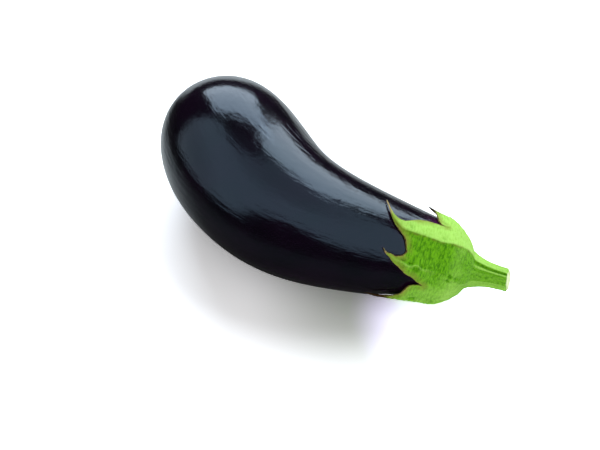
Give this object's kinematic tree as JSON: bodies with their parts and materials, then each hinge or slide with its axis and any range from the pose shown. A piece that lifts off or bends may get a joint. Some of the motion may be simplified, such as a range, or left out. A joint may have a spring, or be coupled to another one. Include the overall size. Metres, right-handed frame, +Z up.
{
  "type": "eggplant",
  "caption": "Whole ripe eggplant lying on its side, with a bent pear-shaped body, a pointed green calyx and a short cut stem.",
  "frame": {"origin": "middle of the base of the bounding box, on the surface that the fruit lies on", "axes": "+X along the fruit towards the cut stem, +Y towards the hollow side of its bend, +Z up"},
  "size_m": [0.2075, 0.0925, 0.0794],
  "materials": {
    "skin": "taut, glossy, purple-black vegetable skin",
    "calyx": "dull, fleshy green with fine felted hairs"
  },
  "bodies": {
    "root": {"fruit": "skin", "calyx_and_stem": "calyx"}
  },
  "joints": []
}
